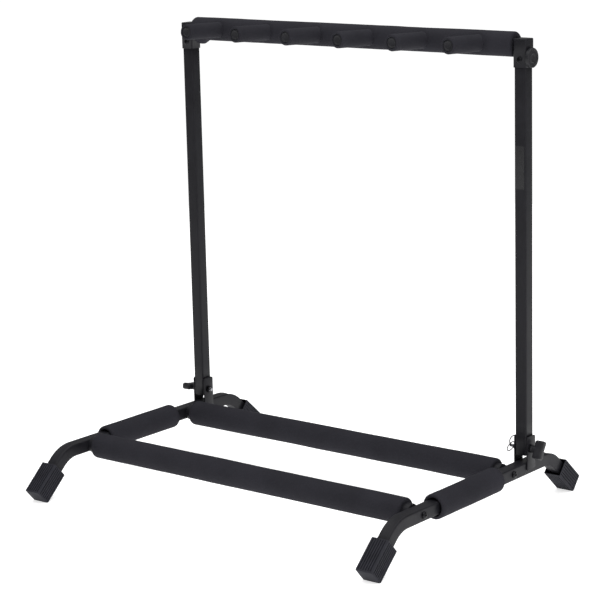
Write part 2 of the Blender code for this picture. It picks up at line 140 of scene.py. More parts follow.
class HardwareSettings(bpy.types.PropertyGroup):
    plastic: colour("Plastic colour", "Colour of knobs and caps", (0.0150, 0.0150, 0.0178))
    zinc: colour("Zinc colour", "Colour of plated steel", (0.30, 0.30, 0.315))
    blackened: colour("Bolt colour", "Colour of the blackened fasteners", (0.022, 0.022, 0.024))
    knurls: IntProperty(name="Knurls", description="Ridges round the yoke knob", default=36, min=12, max=72)


class StageSettings(bpy.types.PropertyGroup):
    floor: colour("Floor colour", "Colour of the floor", (0.90, 0.90, 0.90))
    glow: FloatProperty(name="Floor glow", description="Strength of the light table's own glow",
                        default=0.64, min=0, max=5)
    sky: FloatProperty(name="Sky light", description="Strength of the even light from all round",
                       default=0.26, min=0, max=5)
    key: FloatProperty(name="Key light", description="Power of the large overhead light", unit="POWER",
                       default=140, min=0, max=2000)
    side: FloatProperty(name="Side light", description="Power of the light on the right", unit="POWER",
                        default=14, min=0, max=2000)


# Materials

def node(tree, kind, settings=(), **sockets):
    """Add a node; a socket's value may be a number, a tuple or another node's output."""
    made = tree.nodes.new(kind)
    for key, value in dict(settings).items():
        setattr(made, key, value)
    for key, value in sockets.items():
        socket = made.inputs[key.replace("_", " ")]
        if isinstance(value, bpy.types.NodeSocket):
            tree.links.new(value, socket)
        else:
            socket.default_value = value
    return made


def ramp(tree, fac, low, high, start, end):
    """Colour ramp between two colours."""
    made = tree.nodes.new("ShaderNodeValToRGB")
    tree.links.new(fac, made.inputs["Fac"])
    made.color_ramp.elements[0].position = start
    made.color_ramp.elements[1].position = end
    made.color_ramp.elements[0].color = (*low, 1)
    made.color_ramp.elements[1].color = (*high, 1)
    return made.outputs["Color"]


def spread(tree, fac, low, high, start=0.0, end=1.0):
    """Map a texture's range onto another range."""
    made = node(tree, "ShaderNodeMapRange", From_Min=start, From_Max=end, To_Min=low, To_Max=high, Value=fac)
    return made.outputs["Result"]


def shade(tone, factor):
    return tuple(min(1.0, c * factor) for c in tone)


def tint(tree, shader, fac, tone, low, high, start=0.3, end=0.7):
    """Let a shader's colour run between two shades of one tone."""
    colours = ramp(tree, fac, shade(tone, low), shade(tone, high), start, end)
    tree.links.new(colours, shader.inputs["Base Color"])


def roughen(tree, shader, fac, low, high, start=0.0, end=1.0):
    """Let a shader's roughness follow a texture."""
    tree.links.new(spread(tree, fac, low, high, start, end), shader.inputs["Roughness"])


def blank(name):
    """A node material with its shader and Object coordinates."""
    found = bpy.data.materials.get(name)
    if found:
        return found, None, None, None
    mat = bpy.data.materials.new(name)
    mat.use_nodes = True
    tree = mat.node_tree
    place = tree.nodes.new("ShaderNodeTexCoord").outputs["Object"]
    return mat, tree, tree.nodes["Principled BSDF"], place


def noise_tex(tree, place, scale, detail, rough):
    made = node(tree, "ShaderNodeTexNoise", Vector=place, Scale=scale, Detail=detail, Roughness=rough)
    return made.outputs["Fac"]


def bump(tree, shader, height, distance, strength):
    made = node(tree, "ShaderNodeBump", Height=height, Distance=distance, Strength=strength)
    tree.links.new(made.outputs["Normal"], shader.inputs["Normal"])


def foam_material(context):
    """Closed-cell foam: fine pits, cloudy tone and a soft sheen."""
    tone = tuple(context.scene.rack_foam.colour)
    mat, tree, shader, place = blank("sleeve_foam")
    if tree is None:
        return mat
    cells = node(tree, "ShaderNodeTexVoronoi", Vector=place, Scale=620.0).outputs["Distance"]
    grain = noise_tex(tree, place, 900.0, 4.0, 0.65)
    cloud = noise_tex(tree, place, 16.0, 4.0, 0.55)
    mixed = node(tree, "ShaderNodeMath", {"operation": "MULTIPLY"})
    tree.links.new(cells, mixed.inputs[0])
    tree.links.new(grain, mixed.inputs[1])
    fine = ramp(tree, mixed.outputs[0], shade(tone, 0.88), shade(tone, 1.10), 0.05, 0.5)
    wide = ramp(tree, cloud, (0.86, 0.86, 0.86), (1.12, 1.12, 1.12), 0.3, 0.7)
    blend = node(tree, "ShaderNodeMix", {"data_type": "RGBA", "blend_type": "MULTIPLY"})
    blend.inputs["Factor"].default_value = 1.0
    tree.links.new(fine, blend.inputs["A"])
    tree.links.new(wide, blend.inputs["B"])
    tree.links.new(blend.outputs["Result"], shader.inputs["Base Color"])
    roughen(tree, shader, grain, 0.72, 0.95)
    shader.inputs["Specular IOR Level"].default_value = 0.1
    bump(tree, shader, mixed.outputs[0], 0.0003, 0.4)
    return mat


def powder_coat(context):
    """Satin powder coat: orange peel, faint dust and rubbed patches."""
    tone = tuple(context.scene.rack_steel.colour)
    mat, tree, shader, place = blank("powder_coat")
    if tree is None:
        return mat
    peel = noise_tex(tree, place, 520.0, 2.0, 0.45)
    wear = noise_tex(tree, place, 34.0, 6.0, 0.6)
    tint(tree, shader, wear, tone, 0.85, 1.25, 0.35, 0.75)
    roughen(tree, shader, wear, 0.34, 0.50, 0.3, 0.7)
    shader.inputs["Specular IOR Level"].default_value = 0.16
    bump(tree, shader, peel, 0.00012, 0.6)
    return mat


def boot_rubber(context):
    """Moulded rubber: matt, with a fine grain and a dusty bloom."""
    tone = tuple(context.scene.rack_foot.colour)
    mat, tree, shader, place = blank("boot_rubber")
    if tree is None:
        return mat
    grain = noise_tex(tree, place, 1100.0, 3.0, 0.6)
    bloom = noise_tex(tree, place, 60.0, 5.0, 0.6)
    tint(tree, shader, bloom, tone, 0.85, 1.3, 0.3, 0.75)
    roughen(tree, shader, grain, 0.55, 0.8)
    shader.inputs["Specular IOR Level"].default_value = 0.16
    bump(tree, shader, grain, 0.00015, 0.5)
    return mat


def moulded_plastic(context):
    """Spark-textured black plastic."""
    tone = tuple(context.scene.rack_hardware.plastic)
    mat, tree, shader, place = blank("moulded_plastic")
    if tree is None:
        return mat
    spark = noise_tex(tree, place, 1500.0, 2.0, 0.5)
    cloud = noise_tex(tree, place, 80.0, 3.0, 0.5)
    tint(tree, shader, cloud, tone, 0.85, 1.25)
    roughen(tree, shader, spark, 0.34, 0.56)
    shader.inputs["Specular IOR Level"].default_value = 0.25
    bump(tree, shader, spark, 0.0001, 0.5)
    return mat


def metal(name, tone, rough_low, rough_high):
    """Plated or blackened steel with fine turning marks."""
    mat, tree, shader, place = blank(name)
    if tree is None:
        return mat
    marks = noise_tex(tree, place, 800.0, 4.0, 0.6)
    spots = noise_tex(tree, place, 140.0, 4.0, 0.6)
    tint(tree, shader, spots, tone, 0.8, 1.15)
    roughen(tree, shader, marks, rough_low, rough_high)
    shader.inputs["Metallic"].default_value = 1.0
    bump(tree, shader, marks, 0.00005, 0.4)
    return mat


def zinc_plate(context):
    return metal("zinc_plate", tuple(context.scene.rack_hardware.zinc), 0.22, 0.4)


def ring_wire(context):
    """Dull spring wire of the keeper rings."""
    return metal("ring_wire", shade(tuple(context.scene.rack_hardware.zinc), 0.2), 0.3, 0.5)


def blackened_steel(context):
    return metal("blackened_steel", tuple(context.scene.rack_hardware.blackened), 0.25, 0.42)


def label_film(context):
    """Plain dark film of the blank label."""
    tone = shade(tuple(context.scene.rack_steel.colour), 0.55)
    mat, tree, shader, place = blank("label_film")
    if tree is None:
        return mat
    cloud = noise_tex(tree, place, 120.0, 3.0, 0.5)
    tint(tree, shader, cloud, tone, 0.9, 1.15)
    roughen(tree, shader, cloud, 0.22, 0.3)
    return mat


# Mesh helpers

def axis_frame(centre, direction):
    """A frame at centre whose +Z runs along direction."""
    return Matrix.Translation(centre) @ Vector(direction).to_track_quat("Z", "Y").to_matrix().to_4x4()


def picked(geom, kind):
    """The elements of one kind in a bmesh operator's result."""
    return [g for g in geom if isinstance(g, kind)]


def block(bm, size, centre):
    """A plain block."""
    place = Matrix.Translation(centre) @ Matrix.Diagonal((*size, 1))
    bmesh.ops.create_cube(bm, size=1.0, matrix=place)


def soften(bm, edges, radius, segments):
    """Round edges off."""
    bmesh.ops.bevel(bm, geom=edges, offset=radius, segments=segments, profile=0.5, affect="EDGES",
                    material=-1)


def split(bm, point, normal):
    """Cut every face along a plane and keep both halves."""
    geom = list(bm.verts) + list(bm.edges) + list(bm.faces)
    bmesh.ops.bisect_plane(bm, geom=geom, plane_co=point, plane_no=normal, dist=WELD)


def publish(bm, name, body, mat, replaces, smooth):
    """Close a bmesh into a piece that rides on a CAD body."""
    bmesh.ops.remove_doubles(bm, verts=bm.verts, dist=WELD)
    bmesh.ops.recalc_face_normals(bm, faces=bm.faces)
    mesh = bpy.data.meshes.new(name)
    bm.to_mesh(mesh)
    bm.free()
    mesh.shade_smooth()
    mesh.set_sharp_from_angle(angle=math.radians(smooth))
    mesh.materials.append(mat)
    obj = bpy.data.objects.new(name, mesh)
    bpy.context.scene.collection.objects.link(obj)
    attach(obj, body)
    if replaces:
        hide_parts(*replaces)
    return obj


def repaint(names, mat):
    """Give CAD nodes a procedural material."""
    for name in names:
        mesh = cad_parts[name].data
        mesh.materials.clear()
        mesh.materials.append(mat)


def turn(bm, profile, steps, closed=False):
    """Spin a profile of (radius, height) points about +Z and return the new vertices."""
    before = set(bm.verts)
    verts = [bm.verts.new((r, 0, h)) for r, h in profile]
    pairs = list(zip(verts, verts[1:]))
    if closed:
        pairs.append((verts[-1], verts[0]))
    edges = [bm.edges.new(pair) for pair in pairs]
    bmesh.ops.spin(bm, geom=verts + edges, cent=(0, 0, 0), axis=(0, 0, 1), angle=math.tau, steps=steps,
                   use_merge=True, use_duplicate=False)
    poles = [v for v in bm.verts if v not in before and math.hypot(v.co.x, v.co.y) < 5 * WELD]
    bmesh.ops.remove_doubles(bm, verts=poles, dist=10 * WELD)
    return [v for v in bm.verts if v not in before]


def rounded_block(bm, size, radius, segments, centre):
    """Start a mesh with a block whose edges are rounded."""
    block(bm, size, centre)
    soften(bm, list(bm.edges), radius, segments)


def hexed(verts, radius, across_flats):
    """Push the vertices on one radius out or in to a hexagon."""
    for v in verts:
        r = math.hypot(v.co.x, v.co.y)
        if abs(r - radius) < CLOSE:
            a = math.atan2(v.co.y, v.co.x) % (math.pi / 3) - math.pi / 6
            k = across_flats / 2 / math.cos(a) / r
            v.co.x *= k
            v.co.y *= k


def square_loop(bm, size, corner, matrix):
    """A rounded square loop of edges, each side cut into shorter edges."""
    bmesh.ops.create_grid(bm, x_segments=1, y_segments=1, size=size / 2)
    bmesh.ops.bevel(bm, geom=list(bm.verts), offset=corner, segments=5, profile=0.5, affect="VERTICES",
                    material=-1)
    long_edges = [e for e in bm.edges if e.calc_length() > size / 3]
    bmesh.ops.subdivide_edges(bm, edges=long_edges, cuts=3)
    bmesh.ops.delete(bm, geom=list(bm.faces), context="FACES_ONLY")
    bmesh.ops.transform(bm, matrix=matrix, verts=bm.verts)
    return list(bm.edges)


def extend(bm, edges, offset, pieces=1):
    """Extrude a loop of edges in a straight line and return the new loop."""
    for _ in range(pieces):
        grown = bmesh.ops.extrude_edge_only(bm, edges=edges)["geom"]
        bmesh.ops.translate(bm, vec=Vector(offset) / pieces, verts=picked(grown, bmesh.types.BMVert))
        edges = picked(grown, bmesh.types.BMEdge)
    return edges


def solid_wall(obj, thickness):
    mod = obj.modifiers.new("wall", "SOLIDIFY")
    mod.thickness = thickness
    mod.offset = -1.0
    mod.use_even_offset = True


def lumpy(verts, axis_point, axis, amount, inside, seed):
    """Let the outer skin of a sleeve wander in and out of round."""
    skin = inside + 0.0008
    drift = 0.0003
    axis = Vector(axis).normalized()
    for v in verts:
        rel = v.co - axis_point
        radial = rel - rel.dot(axis) * axis
        r = radial.length
        if r > skin:
            wide = noise.noise(v.co * 11 + seed)
            near = noise.noise(v.co * 45 + seed * 2)
            v.co += radial / r * amount * (wide + 0.35 * near)
            v.co += axis * drift * noise.noise(v.co * 160 + seed)


def sleeve_profile(outer, inner, size, soft, station):
    """Closed (radius, height) profile of a foam sleeve with rounded ends."""
    points = [(inner, 0.0)]
    arc = [math.pi / 2 * i / 5 for i in range(6)]
    points += [(outer - soft + soft * math.sin(a), soft - soft * math.cos(a)) for a in arc]
    count = max(2, round((size - 2 * soft) / station))
    points += [(outer, soft + (size - 2 * soft) * i / count) for i in range(1, count)]
    points += [(outer - soft + soft * math.cos(a), size - soft + soft * math.sin(a)) for a in arc]
    points.append((inner, size))
    return points


def foam_sleeve(context, name, start, end, outer, inner, body, seed, steps=None, station=None, shape=None):
    """A foam sleeve from start to end."""
    look = context.scene.rack_foam
    start = Vector(start)
    way = Vector(end) - start
    bm = bmesh.new()
    profile = sleeve_profile(outer, inner, way.length, look.end_round, station or look.station)
    verts = turn(bm, profile, steps or look.steps, closed=True)
    bmesh.ops.transform(bm, matrix=axis_frame(start, way), verts=verts)
    lumpy(bm.verts, start, way, look.lumps, inner, Vector((seed, seed * 0.7, 3.1)))
    if shape:
        for v in bm.verts:
            shape(v)
    obj = publish(bm, name + "_sleeve", body, foam_material(context), [name], 60)
    return obj


def foot_frame(end):
    """End of a sloping tube inside its boot, and the way up the tube."""
    down = LEG_Z - FOOT_SIZE.y / 2 * math.cos(BEND_ANGLE) + FOOT_FLAT
    slope = down / math.sin(BEND_ANGLE)
    tip = Vector((0, end * (BEND_Y + slope * math.cos(BEND_ANGLE)), LEG_Z - down))
    return tip, Vector((0, -end * math.cos(BEND_ANGLE), math.sin(BEND_ANGLE)))


# Operators

class RACK_OT_legs(bpy.types.Operator):
    """Bent square-tube legs"""
    bl_idname = "rack.legs"
    bl_label = "Legs"

    def execute(self, context):
        look = context.scene.rack_steel
        mat = powder_coat(context)
        tip, _ = foot_frame(1)
        tangent = BEND_RADIUS * math.tan(BEND_ANGLE / 2)
        clearance = 0.0005
        slope = (Vector((0, BEND_Y, LEG_Z)) - tip).length - tangent - FOOT_FLOOR - clearance
        for side_name, side in SIDES:
            x = side * LEG_X
            bm = bmesh.new()
            ring = square_loop(bm, TUBE, look.corner, axis_frame((x, 0, LEG_Z), (0, 1, 0)))
            for _, end in ENDS:
                edges = extend(bm, ring, (0, end * BEND_START, 0))
                verts = list({v for e in edges for v in e.verts})
                pin = (x, end * BEND_START, LEG_Z - BEND_RADIUS)
                bent = bmesh.ops.spin(bm, geom=verts + edges, cent=pin, axis=(1, 0, 0),
                                      angle=-end * BEND_ANGLE, steps=18, use_duplicate=False)["geom_last"]
                way = Vector((0, end * math.cos(BEND_ANGLE), -math.sin(BEND_ANGLE)))
                extend(bm, picked(bent, bmesh.types.BMEdge), way * slope)
            self.dish(bm, x)
            obj = publish(bm, side_name + "_leg", "base", mat, [side_name + "_leg_tube"], 45)
            solid_wall(obj, look.wall)
        return {"FINISHED"}

    def dish(self, bm, x):
        """Hollow the outer and inner faces a little where the tube was bent."""
        depth = 0.0007
        flat = TUBE / 2 - 0.002
        skin = TUBE / 2 - 0.001
        for v in bm.verts:
            end = 1 if v.co.y > 0 else -1
            rel = Vector((0, end * v.co.y - BEND_START, v.co.z - (LEG_Z - BEND_RADIUS)))
            angle = math.atan2(rel.y, rel.z)
            if 0 < angle < BEND_ANGLE and abs(v.co.x - x) < flat:
                level = rel.length - BEND_RADIUS
                if abs(level) > skin:
                    middle_pull = math.cos(math.pi * (v.co.x - x) / TUBE)
                    bend_pull = math.sin(math.pi * angle / BEND_ANGLE) ** 0.5
                    way = Vector((0, end * rel.y, rel.z)).normalized()
                    v.co -= way * math.copysign(depth * middle_pull * bend_pull, level)


class RACK_OT_feet(bpy.types.Operator):
    """Ribbed rubber boots on the legs' ends"""
    bl_idname = "rack.feet"
    bl_label = "Feet"

    def execute(self, context):
        mat = boot_rubber(context)
        for side_name, side in SIDES:
            for end_name, end in ENDS:
                tip, up = foot_frame(end)
                tip.x = side * LEG_X
                bm = bmesh.new()
                self.boot(bm, context.scene.rack_foot)
                bmesh.ops.transform(bm, matrix=axis_frame(tip, up), verts=bm.verts)
                self.rest_on_floor(bm)
                name = end_name + "_" + side_name
                publish(bm, name + "_boot", "base", mat, [name + "_foot"], 30)
        return {"FINISHED"}

    def boot(self, bm, look):
        """A boot in its own frame: +Z runs from the closed end to the mouth."""
        size = FOOT_SIZE
        rounded_block(bm, size, 0.0012, 3, (0, 0, size.z / 2))
        self.mouth(bm, size)
        low = 0.0022
        high = size.z - 0.0018
        for z in (low, high):
            split(bm, (0, 0, z), (0, 0, 1))
        for axis in (0, 1):
            self.grooves(bm, axis, size, look.ribs, look.depth, low, high)
        self.worn_end(bm, size)

    def mouth(self, bm, size):
        """Open the boot's top: a thin rim round a flared socket."""
        rim = 0.0003
        top = [f for f in bm.faces if f.normal.z > 0.9 and f.calc_center_median().z > size.z - rim / 3]
        bmesh.ops.inset_region(bm, faces=top, thickness=rim, depth=0.0)
        for depth, shrink in ((0.0004, 0.985), (0.012, 0.96), (0.010, 0.86)):
            grown = bmesh.ops.extrude_face_region(bm, geom=top)["geom"]
            bmesh.ops.delete(bm, geom=top, context="FACES_ONLY")
            verts = picked(grown, bmesh.types.BMVert)
            top = picked(grown, bmesh.types.BMFace)
            bmesh.ops.translate(bm, vec=(0, 0, -depth), verts=verts)
            bmesh.ops.scale(bm, vec=(shrink, shrink, 1), verts=verts)

    def grooves(self, bm, axis, size, count, depth, low, high):
        """Sink grooves between ribs into the two faces that are square to the other axis."""
        other = 1 - axis
        half = size[axis] / 2
        margin = 0.0022
        pitch = 2 * (half - margin) / count
        width = pitch * 0.46
        centres = [-half + margin + pitch * (i + 0.5) for i in range(count)]
        normal = Vector((0, 0, 0))
        normal[axis] = 1
        for c in centres:
            for edge in (c - width / 2, c + width / 2):
                split(bm, normal * edge, normal)
        for f in list(bm.faces):
            mid = f.calc_center_median()
            outside = abs(abs(mid[other]) - size[other] / 2) < CLOSE / 2
            inside = low < mid.z < high and any(abs(mid[axis] - c) < width * 0.3 for c in centres)
            if outside and inside and abs(f.normal[other]) > 0.99:
                bmesh.ops.inset_region(bm, faces=[f], thickness=width * 0.22, depth=-depth)

    def worn_end(self, bm, size):
        """Crown the closed end, where the boot meets the floor."""
        crown = 0.0006
        for v in bm.verts:
            if v.co.z < crown / 2:
                reach = (v.co.x / size.x) ** 2 + (v.co.y / size.y) ** 2
                v.co.z -= crown * max(0.0, 1 - 3.4 * reach)

    def rest_on_floor(self, bm):
        geom = list(bm.verts) + list(bm.edges) + list(bm.faces)
        cut = bmesh.ops.bisect_plane(bm, geom=geom, plane_co=(0, 0, 0), plane_no=(0, 0, -1), dist=WELD,
                                     clear_outer=True)["geom_cut"]
        bmesh.ops.holes_fill(bm, edges=picked(cut, bmesh.types.BMEdge), sides=0)


class RACK_OT_cheeks(bpy.types.Operator):
    """Welded cheek plates that hold the posts' feet"""
    bl_idname = "rack.cheeks"
    bl_label = "Cheek plates"

    def execute(self, context):
        mat = powder_coat(context)
        for side_name, _ in SIDES:
            for where in ("outer", "inner"):
                name = side_name + "_" + where + "_cheek"
                size = across(name)
                centre = middle(name)
                bm = bmesh.new()
                block(bm, size, centre)
                top = [e for e in bm.edges if all(v.co.z > centre.z for v in e.verts)
                       and abs(e.verts[0].co.x - e.verts[1].co.x) > size.x / 2]
                soften(bm, top, 0.003, 5)
                soften(bm, [e for e in bm.edges if e.calc_face_angle(0) > 0.9], 0.00035, 2)
                self.bead(bm, centre, size)
                publish(bm, name + "_plate", "base", mat, [name], 35)
        return {"FINISHED"}

    def bead(self, bm, centre, size):
        """A rippled weld bead along the plate's lower edge."""
        inset = 0.001
        z = centre.z - size.z / 2
        start = Vector((centre.x, centre.y - size.y / 2 + inset, z))
        steps = 40
        radius = 0.0009
        made = bmesh.ops.create_circle(bm, cap_ends=True, segments=10, radius=radius,
                                       matrix=axis_frame(start, (0, 1, 0)))["verts"]
        edges = list({e for v in made for e in v.link_edges})
        for i in range(steps):
            grown = bmesh.ops.extrude_edge_only(bm, edges=edges)["geom"]
            verts = picked(grown, bmesh.types.BMVert)
            edges = picked(grown, bmesh.types.BMEdge)
            mid = sum((v.co for v in verts), Vector()) / len(verts)
            y = start.y + (size.y - 2 * inset) * (i + 1) / steps
            swell = radius * (1 + 0.16 * math.sin(i * 1.6))
            for v in verts:
                v.co = Vector((start.x, y, z)) + (v.co - mid).normalized() * swell
        bmesh.ops.contextual_create(bm, geom=edges)


class RACK_OT_posts(bpy.types.Operator):
    """Square-tube posts and the blank label on the right one"""
    bl_idname = "rack.posts"
    bl_label = "Posts"

    def execute(self, context):
        look = context.scene.rack_steel
        for side_name, side in SIDES:
            low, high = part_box(side_name + "_post")
            bm = bmesh.new()
            place = Matrix.Translation((side * LEG_X, POST.y, low.z))
            ring = square_loop(bm, TUBE, look.corner, place)
            extend(bm, ring, (0, 0, high.z - low.z), 12)
            obj = publish(bm, side_name + "_post_tube", "upright", powder_coat(context),
                          [side_name + "_post"], 45)
            solid_wall(obj, look.wall)
        self.label(context)
        return {"FINISHED"}

    def label(self, context):
        """A plain film on the front of the right post, with no lettering."""
        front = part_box("right_post")[0].y
        bm = bmesh.new()
        verts = bmesh.ops.create_cube(bm, size=1.0)["verts"]
        bmesh.ops.scale(bm, vec=LABEL_SIZE, verts=verts)
        soften(bm, [e for e in bm.edges if abs(e.verts[0].co.y - e.verts[1].co.y) > 0.0001], 0.0012, 4)
        bmesh.ops.translate(bm, vec=(LEG_X, front - LABEL_SIZE[1] / 2, LABEL_Z), verts=bm.verts)
        publish(bm, "blank_label", "upright", label_film(context), (), 30)


class RACK_OT_bottom_rails(bpy.types.Operator):
    """Bottom rails: tubes, foam sleeves and the bolts through the legs"""
    bl_idname = "rack.bottom_rails"
    bl_label = "Bottom rails"

    def execute(self, context):
        steel = powder_coat(context)
        for index, (tag, _) in enumerate(ENDS):
            tube = tag + "_rail_tube"
            low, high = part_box(tube)
            y = middle(tube).y
            r = (high.y - low.y) / 2
            bm = bmesh.new()
            size = high.x - low.x
            bore = r - 0.0015
            plate = 0.004
            hole = 0.0033
            soft = 0.0004
            turn(bm, [(hole, size), (r - soft, size), (r, size - soft), (r, soft), (r - soft, 0), (hole, 0),
                      (hole, plate), (bore, plate), (bore, size - plate), (hole, size - plate)], 48,
                 closed=True)
            bmesh.ops.transform(bm, matrix=axis_frame((low.x, y, LEG_Z), (1, 0, 0)), verts=bm.verts)
            publish(bm, tag + "_rail_pipe", "base", steel, [tube], 35)
            low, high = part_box(tag + "_rail_foam")
            foam_sleeve(context, tag + "_rail_foam", (low.x, y, LEG_Z), (high.x, y, LEG_Z),
                        (high.y - low.y) / 2, r + 0.0002, "base", 2.0 + index)
            for side_name, side in SIDES:
                self.bolt(context, tag + "_rail_bolt_" + side_name, side, y)
        return {"FINISHED"}

    def bolt(self, context, name, side, y):
        """A button-head bolt with a hex key recess and a washer face."""
        low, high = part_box(name)
        seat = side * (LEG_X + TUBE / 2 + 0.0001)
        tip = max(abs(low.x), abs(high.x))
        h = tip - abs(seat)
        r = (high.z - low.z) / 2
        key = 0.0019
        recess = h - 0.0021
        shank = 0.0028
        end = -0.0115
        profile = [(0, recess), (key, recess), (key, h), (r * 0.5, h), (r * 0.72, h * 0.9),
                   (r * 0.88, h * 0.7), (r * 0.97, h * 0.42), (r, h * 0.18), (r, 0), (shank, 0),
                   (shank, end), (0, end)]
        bm = bmesh.new()
        hexed(turn(bm, profile, 48), key, 0.0036)
        bmesh.ops.transform(bm, matrix=axis_frame((seat, y, LEG_Z), (side, 0, 0)), verts=bm.verts)
        publish(bm, name + "_button", "base", blackened_steel(context), [name], 30)


class RACK_OT_side_foam(bpy.types.Operator):
    """Foam sleeves on the legs, where the guitars' lower edges lean"""
    bl_idname = "rack.side_foam"
    bl_label = "Leg sleeves"

    def execute(self, context):
        for side_name, side in SIDES:
            name = side_name + "_side_foam"
            low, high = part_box(name)
            foam_sleeve(context, name, (side * LEG_X, low.y, LEG_Z), (side * LEG_X, high.y, LEG_Z),
                        (high.x - low.x) / 2, 0.0140, "base", 5.0 + side)
        return {"FINISHED"}


class RACK_OT_yoke(bpy.types.Operator):
    """Neck yoke: sockets on the posts, their screws, the cross tube and its foam"""
    bl_idname = "rack.yoke"
    bl_label = "Yoke"

    def execute(self, context):
        steel = powder_coat(context)
        repaint(["yoke_rail_tube"], steel)
        low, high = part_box("yoke_rail_foam")
        foam_sleeve(context, "yoke_rail_foam", (low.x, YOKE.y, YOKE.z), (high.x, YOKE.y, YOKE.z), YOKE_FOAM_R,
                    0.0112, "upright", 8.0, 72, 0.004, self.shape)
        for side_name, side in SIDES:
            self.socket(side_name, steel)
            self.screw(context, side_name, side)
        return {"FINISHED"}

    def shape(self, v):
        """Dimple the foam round each prong, and let it bulge under its left end."""
        down = YOKE.z - v.co.z
        radial = Vector((0, v.co.y - YOKE.y, v.co.z - YOKE.z))
        if radial.length < 0.0125:
            return
        way = radial.normalized()
        bulge = 0.0062 * math.exp(-((v.co.x + 0.2865) / 0.0085) ** 4)
        v.co += way * bulge * max(0.0, down / YOKE_FOAM_R) ** 2
        if v.co.y < YOKE.y - 0.006:
            for x in PRONG_X:
                ring = math.hypot(v.co.x - x, v.co.z - YOKE.z)
                v.co -= way * 0.0011 * math.exp(-((ring - PRONG_FOAM_R - 0.0006) / 0.0018) ** 2)

    def socket(self, side_name, steel):
        """A deep steel cap over a post's top."""
        name = side_name + "_yoke_socket"
        low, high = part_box(name)
        size = high - low
        bm = bmesh.new()
        block(bm, size, (low + high) / 2)
        floor = [f for f in bm.faces if f.normal.z < -0.9]
        bmesh.ops.delete(bm, geom=floor, context="FACES_ONLY")
        soften(bm, [e for e in bm.edges if abs(e.verts[0].co.z - e.verts[1].co.z) > 0.01], 0.0026, 5)
        top = [e for e in bm.edges if not e.is_boundary and all(v.co.z > high.z - 0.0001 for v in e.verts)]
        soften(bm, top, 0.0012, 4)
        obj = publish(bm, name + "_cap", "upright", steel, [name], 35)
        solid_wall(obj, 0.0009)

    def screw(self, context, side_name, side):
        """A pan-head screw with a small hex recess."""
        name = side_name + "_socket_screw"
        low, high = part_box(name)
        seat = POST.y - (SOCKET_HIGH.y - SOCKET_LOW.y) / 2 - 0.0001
        r = (high.z - low.z) / 2
        h = seat - low.y
        key = 0.0014
        shank = 0.0019
        end = -0.0062
        profile = [(0, h - 0.0012), (key, h - 0.0010), (key, h), (r * 0.6, h * 0.96), (r * 0.85, h * 0.75),
                   (r, h * 0.3), (r, 0), (shank, 0), (shank, end), (0, end)]
        bm = bmesh.new()
        hexed(turn(bm, profile, 36), key, 0.0024)
        bmesh.ops.transform(bm, matrix=axis_frame((side * LEG_X, seat, middle(name).z), (0, -1, 0)),
                            verts=bm.verts)
        publish(bm, name + "_head", "upright", blackened_steel(context), [name], 30)


def prong_frame(index):
    """Where a prong leaves the yoke's axis, and the way along it."""
    along = Vector((0, -math.cos(PRONG_TILT), math.sin(PRONG_TILT)))
    return Vector((PRONG_X[index - 1], YOKE.y, YOKE.z)), along


class RACK_OT_prongs(bpy.types.Operator):
    """Padded prongs with push-in end caps"""
    bl_idname = "rack.prongs"
    bl_label = "Prongs"

    def execute(self, context):
        plastic = moulded_plastic(context)
        repaint(["prong_" + str(i) + "_tube" for i in PRONGS], powder_coat(context))
        for i in PRONGS:
            root, along = prong_frame(i)
            self.pad(context, i, root, along)
            bm = bmesh.new()
            r = PRONG_TUBE_R
            turn(bm, [(0, 0.0009), (r * 0.55, 0.0009), (r * 0.66, 0.0011), (r * 0.72, 0.0016),
                      (r * 0.84, 0.0017), (r * 0.94, 0.0014), (r, 0.0007), (r, 0.0002), (r - 0.0016, 0.0002),
                      (r - 0.0018, -0.007), (0, -0.007)], 48)
            place = axis_frame(root + along * (PRONG_REACH - 0.0025), along)
            bmesh.ops.transform(bm, matrix=place, verts=bm.verts)
            publish(bm, "prong_" + str(i) + "_plug", "upright", plastic,
                    ["prong_" + str(i) + "_cap"], 40)
        return {"FINISHED"}

    def pad(self, context, i, root, along):
        """A prong's foam: a soft round tip, and a root that sits on the yoke's foam."""
        look = context.scene.rack_foam
        outer = PRONG_FOAM_R
        inner = PRONG_TUBE_R + 0.0002
        soft = 0.0030
        foot = 0.012
        skirt = 0.0036
        flare = 0.0004
        size = PRONG_REACH - foot
        arc = [math.pi / 2 * k / 6 for k in range(7)]
        count = 16
        profile = [(inner, 0.0), (outer + flare, 0.0)]
        profile += [(outer + flare * (1 - k / 3), skirt / 3 * k) for k in range(1, 4)]
        profile += [(outer, skirt + (size - soft - skirt) * k / count) for k in range(1, count)]
        profile += [(outer - soft + soft * math.cos(a), size - soft + soft * math.sin(a)) for a in arc]
        profile += [(inner + 0.0006, size - 0.0002), (inner, size - 0.0012)]
        bm = bmesh.new()
        turn(bm, profile, 56, closed=True)
        for v in bm.verts:
            if v.co.z < skirt + flare:
                drop = YOKE_FOAM_R ** 2 - min(v.co.y ** 2, YOKE_FOAM_R ** 2 * 0.9)
                v.co.z += math.sqrt(drop) - foot - flare
        place = axis_frame(root + along * foot, along)
        bmesh.ops.transform(bm, matrix=place, verts=bm.verts)
        lumpy(bm.verts, root, along, look.lumps * 0.7, inner, Vector((i * 3.3, 1.7, 0.4)))
        name = "prong_" + str(i) + "_foam"
        obj = publish(bm, name + "_sleeve", "upright", foam_material(context), [name], 60)


